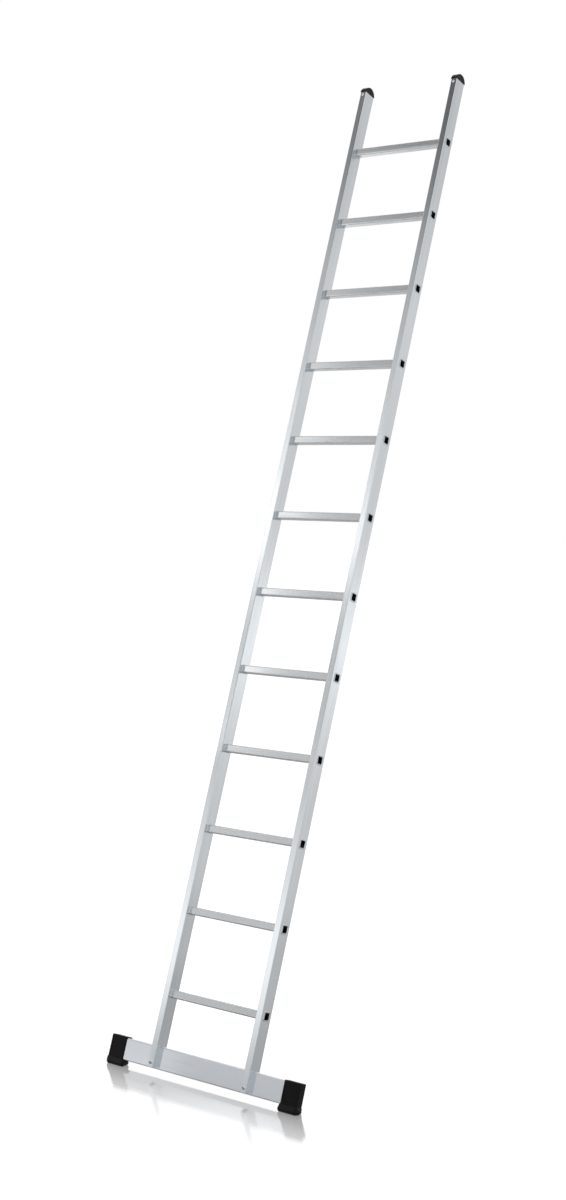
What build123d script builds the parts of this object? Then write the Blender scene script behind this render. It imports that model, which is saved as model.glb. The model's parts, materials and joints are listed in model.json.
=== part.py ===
"""Single-section leaning ladder in aluminium: two box stiles, twelve square rungs flanged into
them, a stabiliser crossbar bolted into notches at the foot, and moulded caps at every end.

The ladder is first built upright in its own ladder frame: X across, Y from the climber's side
towards the wall, Z along the stiles with zero at the lowest rung's axis. It is then leaned back
to its working angle and set down on its soles. Millimetres throughout."""

from build123d import *
import os
from math import cos, radians, sin, tan

# ---------------------------------------------------------------- overall sizes
lean_angle = 19.6  # from the vertical, the top towards the wall
rung_count = 12
rung_pitch = 280.0
outer_width = 420.0  # over both stiles
stile_above = 239.0  # from the top rung's axis to the top of the stile
stile_below = 243.5  # from the lowest rung's axis to the foot of the stile

# ---------------------------------------------------------------- stiles
stile_width = 23.0
stile_depth = 53.0
stile_wall = 1.6
stile_corner = 2.5

# ---------------------------------------------------------------- rungs
rung_size = 26.5
rung_wall = 1.6
rung_corner = 4.2
rung_setback = 28.2  # from the stile's front face to the rung's axis
rung_fit = 0.15  # between a rung and its hole, each side
bead_height = 2.2  # how far the bead stands out round the rung, inside the stile
bead_length = 3.0
bead_slope = 25.0  # degrees
flange_height = 3.5  # how far the flared rim stands out round the rung, outside the stile
flange_thickness = 1.8
flange_slope = 40.0  # degrees, the rim's rolled outer edge
flare_depth = 1.4  # bevel of the rung's open mouth
groove_count = 7
groove_pitch = 2.6
groove_width = 1.3
groove_depth = 0.2

# ---------------------------------------------------------------- crossbar
bar_height = 72.5
bar_depth = 23.5
bar_wall = 2.0
bar_corner = 4.0
bar_half_length = 399.0
bar_front = 20.0  # from the stile's front face to the crossbar's front face
bar_overhang = 4.5  # how far the crossbar reaches below the foot of the stile
notch_gap = 0.5  # between the notch's shoulder and the crossbar's top

# ---------------------------------------------------------------- crossbar fasteners
bolt_radius = 4.0
bolt_hole_play = 0.25
bolt_from_foot = 14.5  # from the foot of the stile up to the bolt's axis
bolt_head_radius = 6.5
bolt_head_height = 4.4
bolt_socket = 5.0  # across flats
bolt_socket_depth = 2.6
bolt_tail = 3.0  # thread past the nut
nut_across_flats = 13.0
nut_height = 8.0
nut_flats_height = 5.6
nut_collar_radius = 6.0
thread_play = 0.05  # between a thread's plain shank and its plain bore
washer_radius = 8.0
washer_thickness = 1.6
spacer_wall = 2.5

# ---------------------------------------------------------------- caps on the stiles' tops
cap_rise = 25.5  # the dome's height above the stile's end
cap_rim = 1.0  # how far the cap stands proud of the stile all round
cap_rim_height = 5.5
cap_plug_length = 28.0
cap_plug_wall = 2.5
cap_plug_play = 0.15
cap_edge_round = 1.6
rivet_from_end = 11.5  # from the stile's end down to the rivet's axis
rivet_head_radius = 5.0
rivet_head_height = 1.8
rivet_shank_radius = 2.4
rivet_play = 0.1
rivet_tail = 2.0
rivet_tail_radius = 3.4

# ---------------------------------------------------------------- caps on the crossbar's ends
foot_length = 65.2  # along the crossbar
foot_wall = 3.6
foot_end_wall = 3.0
foot_fit = 0.15
foot_corner = 3.2
foot_edge_round = 2.9
foot_panel_margin = 7.0
foot_panel_depth = 0.7
foot_floor = 2.5  # thickness under the crossbar
foot_screw_radius = 1.75
foot_screw_head_radius = 3.6
foot_screw_head_height = 2.2
foot_screw_length = 9.0
foot_screw_slot = 1.0

# ---------------------------------------------------------------- rubber soles
sole_drop = 33.2  # from the foot of the stile straight down to the floor
sole_wrap = 4.5  # how far the sole reaches up round the cap
sole_lip = 2.2  # its thickness at the top of the wrap
sole_flare_in = 7.5  # widening towards the ladder's middle
sole_flare_out = 7.5
sole_flare_front = 3.0
sole_flare_back = 0.5
sole_inner_corner = 8.0  # radius of its corners in plan, towards the ladder's middle
sole_outer_corner = 16.0
sole_bulge_height = 12.0  # height of the widest line above the floor
sole_under_round = 6.8  # radius of the edge round the underside
sole_play = 0.1
tread_count = 4
tread_pitch = 5.5
tread_width = 2.2
tread_depth = 1.8

# ---------------------------------------------------------------- modelling
overrun = 1.0  # how far a cutter runs past the face it cuts
least_corner = 0.4  # smallest corner radius in a bore
most_corner = 0.49  # largest corner radius, as a share of the shorter side
most_round = 0.9  # largest round on an edge, as a share of what lies beside it

# ---------------------------------------------------------------- derived places, ladder frame
lean = radians(lean_angle)
stile_x = (outer_width - stile_width) / 2
inner_half = outer_width / 2 - stile_width
outer_half = outer_width / 2
stile_top = (rung_count - 1) * rung_pitch + stile_above
stile_foot = -stile_below
bar_bottom = stile_foot - bar_overhang
bar_top = bar_bottom + bar_height
bar_back = bar_front + bar_depth
bar_y = bar_front + bar_depth / 2
bar_z = (bar_bottom + bar_top) / 2
bolt_z = stile_foot + bolt_from_foot
bolt_hole_radius = bolt_radius + bolt_hole_play
floor_z = stile_foot * cos(lean) - sole_drop  # height of the floor once the ladder leans
foot_outer = bar_half_length + foot_end_wall
foot_inner = foot_outer - foot_length
foot_x = (foot_inner + foot_outer) / 2
foot_depth = bar_depth + 2 * (foot_fit + foot_wall)
foot_bottom = bar_bottom - foot_fit - foot_floor
foot_top = bar_top + foot_fit + foot_wall


# ---------------------------------------------------------------- helpers
def rounded(width, height, corner):
    """A rounded rectangle whose corner radius never passes what its sides allow."""
    return RectangleRounded(width, height, min(corner, most_corner * min(width, height)))


def tube_section(width, height, wall, corner):
    """Section of a rectangular extrusion with an even wall."""
    bore = rounded(width - 2 * wall, height - 2 * wall, max(corner - wall, least_corner))
    return rounded(width, height, corner) - bore


def along_x(section, x_from, x_to, y, z):
    """Extrudes a depth-by-height section along X, centred on the given depth and height."""
    return extrude(Plane((x_from, y, z), x_dir=(0, 1, 0), z_dir=(1, 0, 0)) * section, x_to - x_from)


def rod(radius, y_from, y_to, x, z):
    """A round rod along Y."""
    return extrude(Plane((x, y_from, z), x_dir=(-1, 0, 0), z_dir=(0, 1, 0)) * Circle(radius), y_to - y_from)


def hexagon(across_flats, y_from, y_to, x, z):
    """A six-sided prism along Y."""
    section = RegularPolygon(across_flats / 2, 6, major_radius=False)
    return extrude(Plane((x, y_from, z), x_dir=(-1, 0, 0), z_dir=(0, 1, 0)) * section, y_to - y_from)


def block(x_from, x_to, y_from, y_to, z_from, z_to):
    """A plain box between two corners."""
    box = Box(x_to - x_from, y_to - y_from, z_to - z_from)
    return Pos((x_from + x_to) / 2, (y_from + y_to) / 2, (z_from + z_to) / 2) * box


# ---------------------------------------------------------------- stiles and rungs
def stile(side):
    """Box stile with a hole through both walls for each rung, the notch for the crossbar
    behind its foot, and the holes for the cap's rivet and the crossbar's bolt in front."""
    x = side * stile_x
    section = Pos(x, stile_depth / 2) * tube_section(stile_width, stile_depth, stile_wall, stile_corner)
    body = extrude(Pos(0, 0, stile_foot) * section, stile_top - stile_foot)
    hole_size = rung_size + 2 * rung_fit
    hole = rounded(hole_size, hole_size, rung_corner + rung_fit)
    reach = stile_width / 2 + overrun
    for number in range(rung_count):
        body -= along_x(hole, x - reach, x + reach, rung_setback, number * rung_pitch)
    shoulder = bar_top + notch_gap
    body -= block(x - reach, x + reach, bar_front, stile_depth + overrun, stile_foot - overrun, shoulder)
    body -= rod(bolt_hole_radius, -overrun, stile_wall + overrun, x, bolt_z)
    rivet_hole = rivet_shank_radius + rivet_play
    body -= rod(rivet_hole, -overrun, stile_wall + overrun, x, stile_top - rivet_from_end)
    return body


def rung(number):
    """Square rung with a grooved tread above and below. It passes through both stiles, with a
    bead against each inner wall and a flared rim over each outer wall."""
    z = number * rung_pitch
    end = outer_half + flange_thickness
    section = tube_section(rung_size, rung_size, rung_wall, rung_corner)
    for index in range(groove_count):
        across = (index - (groove_count - 1) / 2) * groove_pitch
        for face in (-1, 1):
            section -= Pos(across, face * rung_size / 2) * Rectangle(groove_width, 2 * groove_depth)
    body = along_x(section, -inner_half, inner_half, rung_setback, z)
    through = tube_section(rung_size, rung_size, rung_wall, rung_corner)
    bore = rung_size - 2 * rung_wall
    bead = rounded(rung_size + 2 * bead_height, rung_size + 2 * bead_height, rung_corner + bead_height)
    rim = rounded(rung_size + 2 * flange_height, rung_size + 2 * flange_height, rung_corner + flange_height)
    mouth = rounded(bore + 2 * flare_depth, bore + 2 * flare_depth, rung_corner - rung_wall + flare_depth)
    bored = rounded(bore, bore, rung_corner - rung_wall)
    for side in (-1, 1):
        wall = Plane((side * inner_half, rung_setback, z), x_dir=(0, 1, 0), z_dir=(-side, 0, 0))
        body += extrude(wall * bead, bead_length, taper=bead_slope) - extrude(wall * bored, bead_length)
        outward = Plane((side * inner_half, rung_setback, z), x_dir=(0, 1, 0), z_dir=(side, 0, 0))
        body += extrude(outward * through, end - inner_half)
        face = Plane((side * outer_half, rung_setback, z), x_dir=(0, 1, 0), z_dir=(side, 0, 0))
        body += extrude(face * rim, flange_thickness, taper=flange_slope) - extrude(face * bored, flange_thickness)
        lip = Plane((side * end, rung_setback, z), x_dir=(0, 1, 0), z_dir=(-side, 0, 0))
        body -= extrude(lip * mouth, flare_depth, taper=45)
    return body


# ---------------------------------------------------------------- caps on the stiles
def top_cap(side):
    """Moulded cap for a stile's top end: a domed head on a thin rim, and a hollow plug."""
    x = side * stile_x
    y = stile_depth / 2
    head_depth = stile_depth + 2 * cap_rim
    head_width = stile_width + 2 * cap_rim
    rim_top = stile_top + cap_rim_height
    rise = cap_rise - cap_rim_height
    radius = (head_depth**2 / 4 + rise**2) / (2 * rise)
    outline = Circle(radius) & (Pos(0, radius - rise / 2) * Rectangle(head_depth, rise))
    dome = along_x(outline, x - head_width / 2, x + head_width / 2, y, rim_top + rise - radius)
    rim = extrude(Pos(x, y, stile_top) * Rectangle(head_width, head_depth), cap_rim_height)
    head = dome + rim
    head = fillet(head.edges().filter_by(GeomType.CIRCLE), cap_edge_round)
    plug_width = stile_width - 2 * (stile_wall + cap_plug_play)
    plug_depth = stile_depth - 2 * (stile_wall + cap_plug_play)
    plug_corner = max(stile_corner - stile_wall, least_corner)
    section = tube_section(plug_width, plug_depth, cap_plug_wall, plug_corner)
    plug = extrude(Pos(x, y, stile_top - cap_plug_length) * section, cap_plug_length)
    through = stile_wall + cap_plug_play + cap_plug_wall + overrun
    hole = rod(rivet_shank_radius + rivet_play, 0, through, x, stile_top - rivet_from_end)
    return head + plug - hole


def cap_rivet(side):
    """Blind rivet holding a top cap, set through the stile's front wall and the cap's plug."""
    x = side * stile_x
    z = stile_top - rivet_from_end
    back = stile_wall + cap_plug_play + cap_plug_wall
    radius = (rivet_head_radius**2 + rivet_head_height**2) / (2 * rivet_head_height)
    ball = Pos(x, radius - rivet_head_height, z) * Sphere(radius)
    head = ball & rod(rivet_head_radius, -rivet_head_height, 0, x, z)
    shank = rod(rivet_shank_radius, 0, back, x, z)
    tail = rod(rivet_tail_radius, back, back + rivet_tail, x, z)
    return head + shank + tail


# ---------------------------------------------------------------- crossbar and its bolts
def crossbar():
    """Rounded box section across the foot of the ladder, drilled for its bolts and the feet's screws."""
    section = tube_section(bar_depth, bar_height, bar_wall, bar_corner)
    body = along_x(section, -bar_half_length, bar_half_length, bar_y, bar_z)
    for side in (-1, 1):
        body -= rod(bolt_hole_radius, bar_front - overrun, bar_back + overrun, side * stile_x, bolt_z)
        body -= rod(foot_screw_radius, bar_y, bar_back + overrun, side * foot_x, bar_z)
    return body


def crossbar_bolt(side):
    """Button-head socket screw through the stile's front wall and the crossbar."""
    x = side * stile_x
    length_end = bar_back + washer_thickness + nut_height + bolt_tail
    shank = rod(bolt_radius, 0, length_end, x, bolt_z)
    radius = (bolt_head_radius**2 + bolt_head_height**2) / (2 * bolt_head_height)
    ball = Pos(x, radius - bolt_head_height, bolt_z) * Sphere(radius)
    head = ball & rod(bolt_head_radius, -bolt_head_height, 0, x, bolt_z)
    top = -bolt_head_height
    socket = hexagon(bolt_socket, top - overrun, top + bolt_socket_depth, x, bolt_z)
    return head + shank - socket


def crossbar_nut(side):
    """Lock nut behind the crossbar, with a rounded collar."""
    x = side * stile_x
    face = bar_back + washer_thickness
    flats = hexagon(nut_across_flats, face, face + nut_flats_height, x, bolt_z)
    collar = rod(nut_collar_radius, face, face + nut_height, x, bolt_z)
    bore = rod(bolt_radius + thread_play, face - overrun, face + nut_height + overrun, x, bolt_z)
    return flats + collar - bore


def crossbar_washer(side):
    """Flat washer between the crossbar and the nut."""
    x = side * stile_x
    face = bar_back + washer_thickness
    disc = rod(washer_radius, bar_back, face, x, bolt_z)
    return disc - rod(bolt_hole_radius, bar_back - overrun, face + overrun, x, bolt_z)


def spacer(side, y_from, y_to):
    """Tube round the bolt that keeps thin walls from being crushed."""
    x = side * stile_x
    tube = rod(bolt_hole_radius + spacer_wall, y_from, y_to, x, bolt_z)
    return tube - rod(bolt_hole_radius, y_from - overrun, y_to + overrun, x, bolt_z)


# ---------------------------------------------------------------- feet, built for the right side
def foot_cap():
    """Moulded sleeve closed at its outer end, pushed over the crossbar."""
    plan = Pos(foot_x, bar_y, foot_bottom) * rounded(foot_length, foot_depth, foot_corner)
    body = extrude(plan, foot_top - foot_bottom)
    body = fillet(body.faces().sort_by(Axis.Z)[-1].edges(), foot_edge_round)
    cavity = rounded(bar_depth + 2 * foot_fit, bar_height + 2 * foot_fit, bar_corner + foot_fit)
    body -= along_x(cavity, foot_inner - overrun, bar_half_length, bar_y, bar_z)
    panel_z = foot_bottom + foot_panel_margin + sole_wrap
    front = bar_y - foot_depth / 2
    body -= block(
        foot_inner + foot_panel_margin,
        foot_outer - foot_panel_margin,
        front - overrun,
        front + foot_panel_depth,
        panel_z,
        foot_top - foot_panel_margin,
    )
    body -= rod(foot_screw_radius, bar_y, bar_y + foot_depth, foot_x, bar_z)
    return body


def foot_screw():
    """Self-tapping screw that holds a foot cap, driven from behind."""
    seat = bar_y + foot_depth / 2
    shank = rod(foot_screw_radius - thread_play, seat - foot_screw_length, seat, foot_x, bar_z)
    radius = (foot_screw_head_radius**2 + foot_screw_head_height**2) / (2 * foot_screw_head_height)
    ball = Pos(foot_x, seat + foot_screw_head_height - radius, bar_z) * Sphere(radius)
    head = ball & rod(foot_screw_head_radius, seat, seat + foot_screw_head_height, foot_x, bar_z)
    slot = block(
        foot_x - foot_screw_head_radius,
        foot_x + foot_screw_head_radius,
        seat + foot_screw_head_height / 2,
        seat + foot_screw_head_height + overrun,
        bar_z - foot_screw_slot / 2,
        bar_z + foot_screw_slot / 2,
    )
    return head + shank - slot


def sole():
    """Rubber sole under a foot cap. It wraps the cap's base square to the stiles, flares out to
    a bulge level with the floor, and has grooves that run across the sliding direction."""
    wrap_top = foot_bottom + sole_wrap
    collar = Plane((foot_x, bar_y, wrap_top)) * rounded(
        foot_length + 2 * sole_lip, foot_depth + 2 * sole_lip, foot_corner + sole_lip
    )
    widest = floor_z + sole_bulge_height
    # where the sleeve's front and back planes meet the level of the widest line
    offset = -foot_depth / 2 / cos(lean)
    middle = widest * tan(lean) + bar_y / cos(lean)
    front = middle + offset - sole_flare_front
    back = middle - offset + sole_flare_back
    left = foot_inner - sole_flare_in
    right = foot_outer + sole_flare_out
    outer_corner = min(sole_outer_corner, most_corner * (back - front))
    inner_corner = min(sole_inner_corner, outer_corner)
    plan = Rectangle(right - left, back - front)
    plan = fillet(plan.vertices().group_by(Axis.X)[-1], outer_corner)
    plan = fillet(plan.vertices().group_by(Axis.X)[0], inner_corner)
    level = Plane(((left + right) / 2, (front + back) / 2, widest)) * plan
    upright = Rot(lean_angle, 0, 0)
    flare = loft([collar, upright * level])
    under = extrude(level, -sole_bulge_height)
    under_round = min(sole_under_round, most_round * min(sole_bulge_height, inner_corner))
    under = fillet(under.faces().sort_by(Axis.Z)[0].edges(), under_round)
    body = flare + upright * under
    pocket = Plane((foot_x, bar_y, foot_bottom)) * rounded(
        foot_length + 2 * sole_play, foot_depth + 2 * sole_play, foot_corner + sole_play
    )
    body -= extrude(pocket, 2 * sole_wrap)
    beside_bar = rounded(bar_depth + 2 * foot_fit, bar_height + 2 * foot_fit, bar_corner + foot_fit)
    body -= along_x(beside_bar, left - overrun, foot_x, bar_y, bar_z)
    for index in range(tread_count):
        y = (front + back) / 2 + (index - (tread_count - 1) / 2) * tread_pitch
        groove = block(
            left - overrun,
            right + overrun,
            y - tread_width / 2,
            y + tread_width / 2,
            floor_z - overrun,
            floor_z + tread_depth,
        )
        body -= upright * groove
    return body


# ---------------------------------------------------------------- assembly
def assembly():
    """Every node by name, upright in the ladder frame."""
    nodes = {}
    for number in range(rung_count):
        nodes[f"rung_{number + 1:02d}"] = rung(number)
    nodes["crossbar"] = crossbar()
    for name, side in (("left", -1), ("right", 1)):
        nodes[f"stile_{name}"] = stile(side)
        nodes[f"top_cap_{name}"] = top_cap(side)
        nodes[f"top_cap_rivet_{name}"] = cap_rivet(side)
        nodes[f"crossbar_bolt_{name}"] = crossbar_bolt(side)
        nodes[f"crossbar_washer_{name}"] = crossbar_washer(side)
        nodes[f"crossbar_nut_{name}"] = crossbar_nut(side)
        nodes[f"stile_spacer_{name}"] = spacer(side, stile_wall, bar_front)
        nodes[f"crossbar_spacer_{name}"] = spacer(side, bar_front + bar_wall, bar_back - bar_wall)
    for base, shape in (("foot_cap", foot_cap()), ("foot_screw", foot_screw()), ("foot_sole", sole())):
        nodes[f"{base}_right"] = shape
        nodes[f"{base}_left"] = mirror(shape, Plane.YZ)
    return nodes


def main():
    """Leans the ladder, sets its footprint's middle on the origin and writes one file a node."""
    nodes = {name: Rot(-lean_angle, 0, 0) * shape for name, shape in assembly().items()}
    boxes = [shape.bounding_box() for shape in nodes.values()]
    middle_x = (min(box.min.X for box in boxes) + max(box.max.X for box in boxes)) / 2
    middle_y = (min(box.min.Y for box in boxes) + max(box.max.Y for box in boxes)) / 2
    place = Pos(-middle_x, -middle_y, -floor_z)
    os.makedirs("parts", exist_ok=True)
    for name, shape in nodes.items():
        export_step(place * shape, f"parts/{name}.step")
    print("ladder frame to floor frame:", -middle_x, -middle_y, -floor_z)


main()
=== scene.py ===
"""Looks for the leaning ladder: materials, a plain studio and the camera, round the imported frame."""

import json
import math

import bpy
from mathutils import Matrix, Vector


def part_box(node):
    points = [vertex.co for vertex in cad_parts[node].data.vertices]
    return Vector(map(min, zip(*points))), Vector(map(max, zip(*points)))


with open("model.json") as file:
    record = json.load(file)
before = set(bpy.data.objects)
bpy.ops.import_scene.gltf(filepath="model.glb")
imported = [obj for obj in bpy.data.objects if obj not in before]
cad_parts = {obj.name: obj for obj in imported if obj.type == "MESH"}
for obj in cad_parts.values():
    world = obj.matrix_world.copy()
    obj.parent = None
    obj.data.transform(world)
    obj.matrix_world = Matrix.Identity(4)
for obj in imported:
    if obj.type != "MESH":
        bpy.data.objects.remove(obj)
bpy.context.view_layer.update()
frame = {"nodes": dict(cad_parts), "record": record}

LEAN = math.radians(19.6)  # the ladder's lean from the vertical, towards +Y
ALONG_STILES = (0.0, math.sin(LEAN), math.cos(LEAN))
ALONG_RUNGS = (1.0, 0.0, 0.0)
WHITE = (1.0, 1.0, 1.0, 1.0)


# ---------------------------------------------------------------- node helpers
def clear_tree(owner):
    """Turns on the nodes of a material or a world, and empties its tree."""
    owner.use_nodes = True
    tree = owner.node_tree
    tree.nodes.clear()
    return tree


def node(tree, kind, values=None, **settings):
    """Adds a node, sets its attributes, and then its inputs by name or number."""
    made = tree.nodes.new(kind)
    for name, value in settings.items():
        setattr(made, name, value)
    for key, value in (values or {}).items():
        if isinstance(value, bpy.types.NodeSocket):
            tree.links.new(value, made.inputs[key])
        else:
            made.inputs[key].default_value = value
    return made


def ramp(tree, factor, stops):
    """Colour ramp; a stop is (place, grey) or (place, (r, g, b))."""
    made = node(tree, "ShaderNodeValToRGB", {"Fac": factor})
    elements = made.color_ramp.elements
    while len(elements) < len(stops):
        elements.new(0.5)
    for element, (place, colour) in zip(elements, stops):
        element.position = place
        rgb = colour if isinstance(colour, tuple) else (colour, colour, colour)
        element.color = (*rgb, 1.0)
    return made.outputs["Color"]


def math_node(tree, operation, *values):
    return node(tree, "ShaderNodeMath", dict(enumerate(values)), operation=operation).outputs[0]


def vector_node(tree, operation, *values):
    return node(tree, "ShaderNodeVectorMath", dict(enumerate(values)), operation=operation)


def span(tree, value, low, high, to_low, to_high):
    """Maps a value from one range to another, clamped."""
    limits = {"From Min": low, "From Max": high, "To Min": to_low, "To Max": to_high}
    return node(tree, "ShaderNodeMapRange", {"Value": value, **limits}).outputs["Result"]


def mixed_colour(tree, factor, low, high):
    values = {"Factor": factor, "A": low, "B": high}
    return node(tree, "ShaderNodeMix", values, data_type="RGBA").outputs["Result"]


def mixed_shader(tree, factor, low, high):
    return node(tree, "ShaderNodeMixShader", {0: factor, 1: low, 2: high}).outputs[0]


def ladder_coordinates(tree):
    """The place on the part in the ladder's own frame: X across, Y in depth, Z along the stiles."""
    place = node(tree, "ShaderNodeTexCoord").outputs["Object"]
    upright = node(tree, "ShaderNodeMapping", {"Vector": place, "Rotation": (LEAN, 0.0, 0.0)})
    return upright.outputs["Vector"]


def noise(tree, place, scale, detail=3.0, roughness=0.55, offset=0.0):
    """Noise per metre, with one scale for all three axes or a scale for each."""
    scales = (scale, scale, scale) if isinstance(scale, float) else scale
    settings = {"Vector": place, "Scale": scales, "Location": (offset, offset, offset)}
    mapped = node(tree, "ShaderNodeMapping", settings).outputs["Vector"]
    values = {"Vector": mapped, "Scale": 1.0, "Detail": detail, "Roughness": roughness}
    return node(tree, "ShaderNodeTexNoise", values).outputs["Fac"]


def drawn_out(along, lengthwise, across):
    """Noise scales for marks drawn out along one of the ladder's axes."""
    return tuple(lengthwise if axis == along else across for axis in "XYZ")


def principled(name, metallic):
    """A new material, its tree and its shader."""
    material = bpy.data.materials.new(name)
    tree = clear_tree(material)
    shader = node(tree, "ShaderNodeBsdfPrincipled", {"Metallic": metallic})
    node(tree, "ShaderNodeOutputMaterial", {"Surface": shader.outputs[0]})
    return material, tree, shader


def bump(tree, shader, height, strength, distance):
    made = node(tree, "ShaderNodeBump", {"Height": height, "Strength": strength, "Distance": distance})
    tree.links.new(made.outputs["Normal"], shader.inputs["Normal"])


# ---------------------------------------------------------------- materials
ANISOTROPY = 0.9  # of the extrusions' gloss
QUARTER_TURN = 0.25  # from the draw lines to the direction in which their gloss is spread
DARK_LINE, LIGHT_LINE = 0.955, 1.035  # the darkest and lightest draw lines, as shares of the tint
GLOSS_SWING = 0.035  # how far the draw lines move the roughness, up and down


def extruded_aluminium(name, along, tint, rough):
    """Mill-finish extrusion: draw lines along one ladder axis, soft cloudiness, a few fine scratches."""
    material, tree, shader = principled(name, 1.0)
    place = ladder_coordinates(tree)
    lines = noise(tree, place, drawn_out(along, 3.0, 900.0), detail=4.0, roughness=0.65)
    bands = noise(tree, place, drawn_out(along, 0.9, 70.0), detail=2.0, offset=3.0)
    clouds = noise(tree, place, drawn_out(along, 2.5, 14.0), offset=7.0)
    fine_share = math_node(tree, "MULTIPLY", lines, 0.45)
    broad_share = math_node(tree, "MULTIPLY", bands, 0.55)
    mixed = math_node(tree, "ADD", fine_share, broad_share)
    low = tuple(channel * DARK_LINE for channel in tint)
    high = tuple(min(1.0, channel * LIGHT_LINE) for channel in tint)
    colour = ramp(tree, mixed, [(0.36, low), (0.5, tint), (0.64, high)])
    tree.links.new(colour, shader.inputs["Base Color"])
    scratches = noise(tree, place, (420.0, 130.0, 130.0), detail=1.0, offset=11.0)
    scratched = span(tree, scratches, 0.70, 0.76, 0.0, 0.05)
    lined = span(tree, mixed, 0.3, 0.7, rough - GLOSS_SWING, rough + GLOSS_SWING)
    gloss = math_node(tree, "ADD", lined, scratched)
    smudged = math_node(tree, "ADD", gloss, span(tree, clouds, 0.45, 0.7, 0.0, 0.06))
    tree.links.new(smudged, shader.inputs["Roughness"])
    shader.inputs["Anisotropic"].default_value = ANISOTROPY
    shader.inputs["Anisotropic Rotation"].default_value = QUARTER_TURN
    direction = {"X": ALONG_RUNGS, "Z": ALONG_STILES}[along]
    tangent = node(tree, "ShaderNodeCombineXYZ", dict(zip("XYZ", direction)))
    tree.links.new(tangent.outputs[0], shader.inputs["Tangent"])
    bump(tree, shader, mixed, 0.12, 0.0002)
    return material


def plated_steel(name):
    """Zinc-plated fasteners: bright, with faint tool marks and clouded plating."""
    material, tree, shader = principled(name, 1.0)
    place = ladder_coordinates(tree)
    turned = noise(tree, place, 1400.0)
    clouds = noise(tree, place, 160.0, detail=2.0, offset=4.0)
    colour = ramp(tree, clouds, [(0.3, (0.62, 0.635, 0.65)), (0.7, (0.76, 0.765, 0.77))])
    tree.links.new(colour, shader.inputs["Base Color"])
    tree.links.new(span(tree, turned, 0.3, 0.7, 0.2, 0.34), shader.inputs["Roughness"])
    bump(tree, shader, turned, 0.08, 0.0002)
    return material


def bright_rivet(name):
    """Smooth aluminium rivet heads: bright, with fine setting marks."""
    material, tree, shader = principled(name, 1.0)
    place = ladder_coordinates(tree)
    marks = noise(tree, place, 1100.0, detail=2.0)
    tree.links.new(ramp(tree, marks, [(0.35, 0.82), (0.65, 0.9)]), shader.inputs["Base Color"])
    tree.links.new(span(tree, marks, 0.3, 0.7, 0.14, 0.24), shader.inputs["Roughness"])
    bump(tree, shader, marks, 0.05, 0.0001)
    return material


def moulded(name, greys, roughs, specular, grain, depth):
    """Moulded plastic or rubber: pebbled, with its grain given per metre, and slightly clouded gloss."""
    material, tree, shader = principled(name, 0.0)
    shader.inputs["Specular IOR Level"].default_value = specular
    place = ladder_coordinates(tree)
    scaled = node(tree, "ShaderNodeMapping", {"Vector": place, "Scale": (grain, grain, grain)})
    values = {"Vector": scaled.outputs[0], "Scale": 1.0, "Randomness": 1.0}
    pebbles = node(tree, "ShaderNodeTexVoronoi", values).outputs["Distance"]
    clouds = noise(tree, place, 45.0, detail=4.0, offset=2.0)
    colour = ramp(tree, clouds, [(0.3, greys[0]), (0.7, greys[1])])
    tree.links.new(colour, shader.inputs["Base Color"])
    clouded = span(tree, clouds, 0.3, 0.7, roughs[0], roughs[1])
    pebbled = span(tree, pebbles, 0.2, 0.8, -0.03, 0.05)
    tree.links.new(math_node(tree, "ADD", clouded, pebbled), shader.inputs["Roughness"])
    bump(tree, shader, pebbles, 0.25, depth)
    return material


MATERIALS = {
    "stile_aluminium": extruded_aluminium(
        "stile_aluminium_look",
        along="Z",
        tint=(0.775, 0.81, 0.84),
        rough=0.20,
    ),
    "rung_aluminium": extruded_aluminium(
        "rung_aluminium_look",
        along="X",
        tint=(0.68, 0.697, 0.712),
        rough=0.21,
    ),
    "crossbar_aluminium": extruded_aluminium(
        "crossbar_aluminium_look",
        along="X",
        tint=(0.765, 0.795, 0.84),
        rough=0.20,
    ),
    "rivet_aluminium": bright_rivet("rivet_look"),
    "fastener_steel": plated_steel("fastener_look"),
    "cap_plastic": moulded(
        "cap_plastic_look",
        greys=(0.003, 0.006),
        roughs=(0.34, 0.44),
        specular=0.2,
        grain=1400.0,
        depth=0.0001,
    ),
    "foot_plastic": moulded(
        "foot_plastic_look",
        greys=(0.001, 0.003),
        roughs=(0.20, 0.30),
        specular=0.13,
        grain=1400.0,
        depth=0.0001,
    ),
    "sole_rubber": moulded(
        "sole_rubber_look",
        greys=(0.0015, 0.0035),
        roughs=(0.22, 0.32),
        specular=0.2,
        grain=1100.0,
        depth=0.00015,
    ),
}

for subpart in frame["record"]["subparts"]:
    shown = frame["nodes"][subpart["node"]]
    shown.data.materials.clear()
    shown.data.materials.append(MATERIALS[subpart["material_slot"]])


# ---------------------------------------------------------------- studio
# Radiance of the surround in front of the ladder, by the cosine of the angle from the stiles' axis.
FRONT_BANDS = [
    (-0.300, 0.46),
    (-0.100, 0.40),
    (-0.070, 0.42),
    (-0.050, 0.76),
    (-0.020, 1.26),
    (0.000, 1.28),
    (0.030, 0.99),
    (0.060, 0.84),
    (0.090, 0.66),
    (0.130, 0.48),
    (0.165, 0.30),
    (0.185, 0.41),
    (0.205, 0.90),
    (0.230, 1.54),
    (0.252, 0.80),
    (0.270, 0.56),
    (0.305, 0.79),
    (0.335, 0.42),
    (0.365, 0.50),
    (0.385, 0.31),
    (0.410, 0.15),
    (0.460, 0.03),
    (0.620, 0.12),
    (0.750, 0.80),
    (0.900, 1.00),
]
# Radiance behind the ladder, by the sine of the elevation.
BACK_BANDS = [(0.0, 0.70), (0.05, 0.80), (0.10, 0.75), (0.17, 0.56), (0.22, 0.55), (0.28, 1.05), (1.0, 1.0)]
FRONT_TO_BACK = (-0.45, 0.1)  # the direction's Y over which the front's bands give way to the back's

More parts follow.
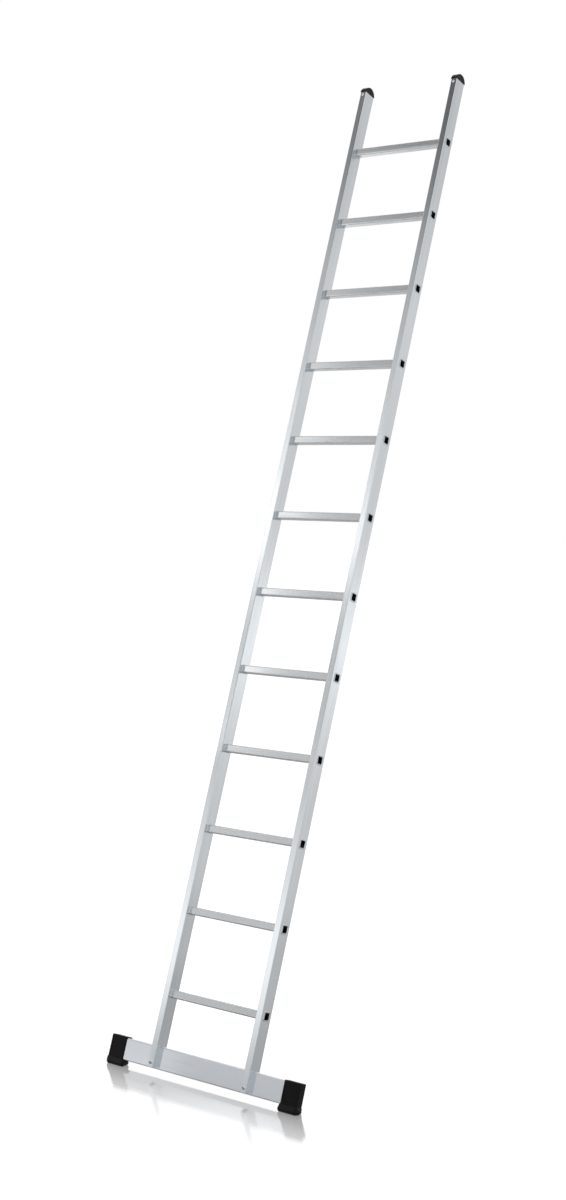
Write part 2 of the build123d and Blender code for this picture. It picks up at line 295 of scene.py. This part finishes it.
# Radiance of the floor in the metal's reflections, by metres from the origin.
FLOOR_REACH = 30.0  # from the origin to the floor's edges
FLOOR_FRONT = [(0.7, 0.30), (1.0, 0.10), (2.0, 0.15), (2.6, 0.50), (3.2, 0.85), (5.0, 0.92), (8.0, 0.80)]
FLOOR_RIGHT = [
    (0.5, 0.43),
    (1.0, 0.60),
    (1.4, 0.50),
    (2.3, 0.68),
    (4.5, 0.64),
    (7.0, 0.76),
    (9.0, 0.86),
    (13.0, 1.30),
    (15.0, 1.30),
    (18.0, 1.08),
    (23.0, 0.88),
    (30.0, 0.72),
]
FLOOR_LEFT = [
    (0.9, 0.60),
    (1.4, 0.60),
    (2.1, 0.40),
    (2.8, 0.25),
    (3.3, 0.40),
    (3.7, 1.50),
    (4.4, 1.50),
    (5.0, 1.10),
    (9.0, 0.90),
]
LEFT_TO_RIGHT = (-0.5, 0.1)  # the X over which the left part of the floor gives way to the right
FEET_LINE = (-0.05, 0.05)  # metres ahead of the feet over which both give way to the front

# What the camera sees of the floor: white, made of its own glow and of the lamps' light on it.
FLOOR_GLOW = 0.82
FLOOR_GREY = (0.33, 0.33, 0.33, 1.0)
FLOOR_IN_BOUNCES = (0.8, 0.8, 0.8, 1.0)

# The mirror image of the feet in the floor: its strength by metres ahead of the feet, and its limits.
MIRROR_FADING = [(0.0, 0.72), (0.12, 0.50), (0.24, 0.34), (0.33, 0.08), (0.38, 0.0)]
MIRROR_SIDES = (0.6, 1.0)  # the distance from the middle, left or right, over which it ends
MIRROR_BEHIND = (-0.4, -0.2)  # metres ahead of the feet over which it sets in, from behind
GRAIN_PER_METRE = 3000.0  # how fine the floor's grain is
GRAIN_TILT = 0.025  # the most that a grain tilts the floor's normal on X or Y


def studio_world():
    """A pale studio: plain white behind the part, a softly banded surround in its reflections."""
    world = bpy.data.worlds.new("studio")
    bpy.context.scene.world = world
    tree = clear_tree(world)
    direction = node(tree, "ShaderNodeTexCoord").outputs["Generated"]
    parts = node(tree, "ShaderNodeSeparateXYZ", {"Vector": direction})
    along = vector_node(tree, "DOT_PRODUCT", direction, ALONG_STILES).outputs["Value"]
    halved = [(0.5 + place / 2.0, radiance) for place, radiance in FRONT_BANDS]
    front = ramp(tree, span(tree, along, -1.0, 1.0, 0.0, 1.0), halved)
    back = ramp(tree, parts.outputs["Z"], BACK_BANDS)
    frontward = span(tree, parts.outputs["Y"], *FRONT_TO_BACK, 1.0, 0.0)
    banded = mixed_colour(tree, frontward, back, front)
    surround = node(tree, "ShaderNodeBackground", {"Color": banded, "Strength": 1.0})
    plain = node(tree, "ShaderNodeBackground", {"Color": WHITE, "Strength": 1.0})
    rays = node(tree, "ShaderNodeLightPath")
    # the camera and the floor's own gloss see plain white, the metal sees the bands
    plainly = math_node(tree, "MAXIMUM", rays.outputs["Is Camera Ray"], rays.outputs["Is Singular Ray"])
    chosen = mixed_shader(tree, plainly, surround.outputs[0], plain.outputs[0])
    node(tree, "ShaderNodeOutputWorld", {"Surface": chosen})


def emission(tree, colour, strength):
    return node(tree, "ShaderNodeEmission", {"Color": colour, "Strength": strength}).outputs[0]


def floor_seen(tree, place, parts, ahead):
    """The floor as the camera sees it: white, with the part's shadow, and with a mirror image of the
    feet that fades out in front of them."""
    shadowed = node(tree, "ShaderNodeBsdfDiffuse", {"Color": FLOOR_GREY})
    glow = emission(tree, WHITE, FLOOR_GLOW)
    white = node(tree, "ShaderNodeAddShader", {0: glow, 1: shadowed.outputs[0]})
    # a fine random tilt blurs the mirror image, and leaves its rays singular for the world to answer
    fineness = (GRAIN_PER_METRE, GRAIN_PER_METRE, GRAIN_PER_METRE)
    spots = vector_node(tree, "MULTIPLY", place, fineness).outputs[0]
    grain = node(tree, "ShaderNodeTexWhiteNoise", {"Vector": spots}).outputs["Color"]
    swing = (2.0 * GRAIN_TILT, 2.0 * GRAIN_TILT, 0.0)
    lowest = (-GRAIN_TILT, -GRAIN_TILT, 1.0)
    tilted = vector_node(tree, "MULTIPLY_ADD", grain, swing, lowest).outputs[0]
    facing = vector_node(tree, "NORMALIZE", tilted).outputs[0]
    gloss = node(tree, "ShaderNodeBsdfGlossy", {"Color": WHITE, "Roughness": 0.0, "Normal": facing})
    fading = ramp(tree, ahead, MIRROR_FADING)
    beside = math_node(tree, "ABSOLUTE", parts.outputs["X"])
    inside = span(tree, beside, *MIRROR_SIDES, 1.0, 0.0)
    near = math_node(tree, "MULTIPLY", fading, inside)
    shown = math_node(tree, "MULTIPLY", near, span(tree, ahead, *MIRROR_BEHIND, 0.0, 1.0))
    return mixed_shader(tree, shown, white.outputs[0], gloss.outputs[0])


def floor_in_metal(tree, place, parts, ahead):
    """The floor as the metal reflects it: bands of light by distance, apart for left, right and front."""
    distance = vector_node(tree, "LENGTH", place).outputs["Value"]
    reach = span(tree, distance, 0.0, FLOOR_REACH, 0.0, 1.0)
    left, right, front = (
        ramp(tree, reach, [(metres / FLOOR_REACH, radiance) for metres, radiance in bands])
        for bands in (FLOOR_LEFT, FLOOR_RIGHT, FLOOR_FRONT)
    )
    rightward = span(tree, parts.outputs["X"], *LEFT_TO_RIGHT, 0.0, 1.0)
    behind = mixed_colour(tree, rightward, left, right)
    forward = span(tree, ahead, *FEET_LINE, 0.0, 1.0)
    return emission(tree, mixed_colour(tree, forward, behind, front), 1.0)


def floor():
    """A polished white floor, which the camera, the metal and the bounced light see each in its own way."""
    mesh = bpy.data.meshes.new("floor")
    half = FLOOR_REACH
    corners = [(-half, -half, 0.0), (half, -half, 0.0), (half, half, 0.0), (-half, half, 0.0)]
    mesh.from_pydata(corners, [], [(0, 1, 2, 3)])
    plane = bpy.data.objects.new("floor", mesh)
    bpy.context.scene.collection.objects.link(plane)
    material = bpy.data.materials.new("floor_look")
    tree = clear_tree(material)
    rays = node(tree, "ShaderNodeLightPath")
    place = node(tree, "ShaderNodeNewGeometry").outputs["Position"]
    parts = node(tree, "ShaderNodeSeparateXYZ", {"Vector": place})
    feet_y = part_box("foot_sole_right")[0][1]
    ahead = math_node(tree, "SUBTRACT", feet_y, parts.outputs["Y"])
    seen = floor_seen(tree, place, parts, ahead)
    mirrored = floor_in_metal(tree, place, parts, ahead)
    pale = node(tree, "ShaderNodeBsdfDiffuse", {"Color": FLOOR_IN_BOUNCES}).outputs[0]
    reflected = mixed_shader(tree, rays.outputs["Is Glossy Ray"], pale, mirrored)
    chosen = mixed_shader(tree, rays.outputs["Is Camera Ray"], reflected, seen)
    node(tree, "ShaderNodeOutputMaterial", {"Surface": chosen})
    mesh.materials.append(material)


def area_lamp(name, size, watts):
    """A rectangular lamp of a width and a height, still at the origin."""
    data = bpy.data.lights.new(name, "AREA")
    data.shape = "RECTANGLE"
    data.size, data.size_y = size
    data.energy = watts
    lamp = bpy.data.objects.new(name, data)
    bpy.context.scene.collection.objects.link(lamp)
    return lamp


def soft_lamp(name, place, aim, size, watts):
    """A soft studio lamp, which the metal doesn't mirror."""
    lamp = area_lamp(name, size, watts)
    lamp.location = place
    lamp.rotation_euler = (Vector(aim) - Vector(place)).to_track_quat("-Z", "Y").to_euler()
    lamp.visible_glossy = False


WATTS_PER_RADIANCE = 4.0  # of an area lamp, for each square metre


def strip_lamp(name, place, size, radiance, slant=0.0):
    """A strip of light to the climber's left, which faces +Y and leans outwards by a slant in degrees.
    The crossbar and the left foot mirror the low one, the rungs' left ends the other two."""
    width, height = size
    lamp = area_lamp(name, size, WATTS_PER_RADIANCE * width * height * radiance)
    outwards = math.radians(slant)
    up = Vector((-math.sin(outwards), 0.0, math.cos(outwards)))
    back = Vector((0.0, -1.0, 0.0))
    turned = Matrix((up.cross(back), up, back)).transposed().to_4x4()
    lamp.matrix_world = Matrix.Translation(place) @ turned
    lamp.visible_camera = False


def camera():
    """The picture's camera: its place, heading and slight downward tilt."""
    data = bpy.data.cameras.new("camera")
    data.lens = 54.72
    data.sensor_width = 36.0
    data.shift_x = -0.0004
    data.shift_y = -0.0252
    data.clip_end = 200.0
    seen_from = bpy.data.objects.new("camera", data)
    heading = math.radians(38.126)
    tilt = math.radians(-3.714)
    seen_from.location = (3.7967, -4.9983, 2.0616)
    seen_from.rotation_euler = (math.pi / 2 + tilt, 0.0, heading)
    bpy.context.scene.collection.objects.link(seen_from)
    bpy.context.scene.camera = seen_from


studio_world()
floor()
soft_lamp("key", place=(-3.0, -4.5, 5.0), aim=(0.0, 0.0, 1.6), size=(2.5, 2.5), watts=180.0)
soft_lamp("fill", place=(4.5, -1.0, 4.0), aim=(0.0, 0.0, 1.4), size=(3.0, 3.0), watts=60.0)
strip_lamp("middle_strip", place=(-2.18, -2.0, 3.1), size=(0.42, 2.4), radiance=0.78, slant=13.0)
strip_lamp("high_strip", place=(-2.83, -2.0, 5.7), size=(0.42, 2.8), radiance=0.28, slant=14.6)
strip_lamp("low_strip", place=(-1.70, -2.0, 0.21), size=(0.90, 0.38), radiance=0.32)
camera()

bpy.context.scene.view_settings.view_transform = "Standard"
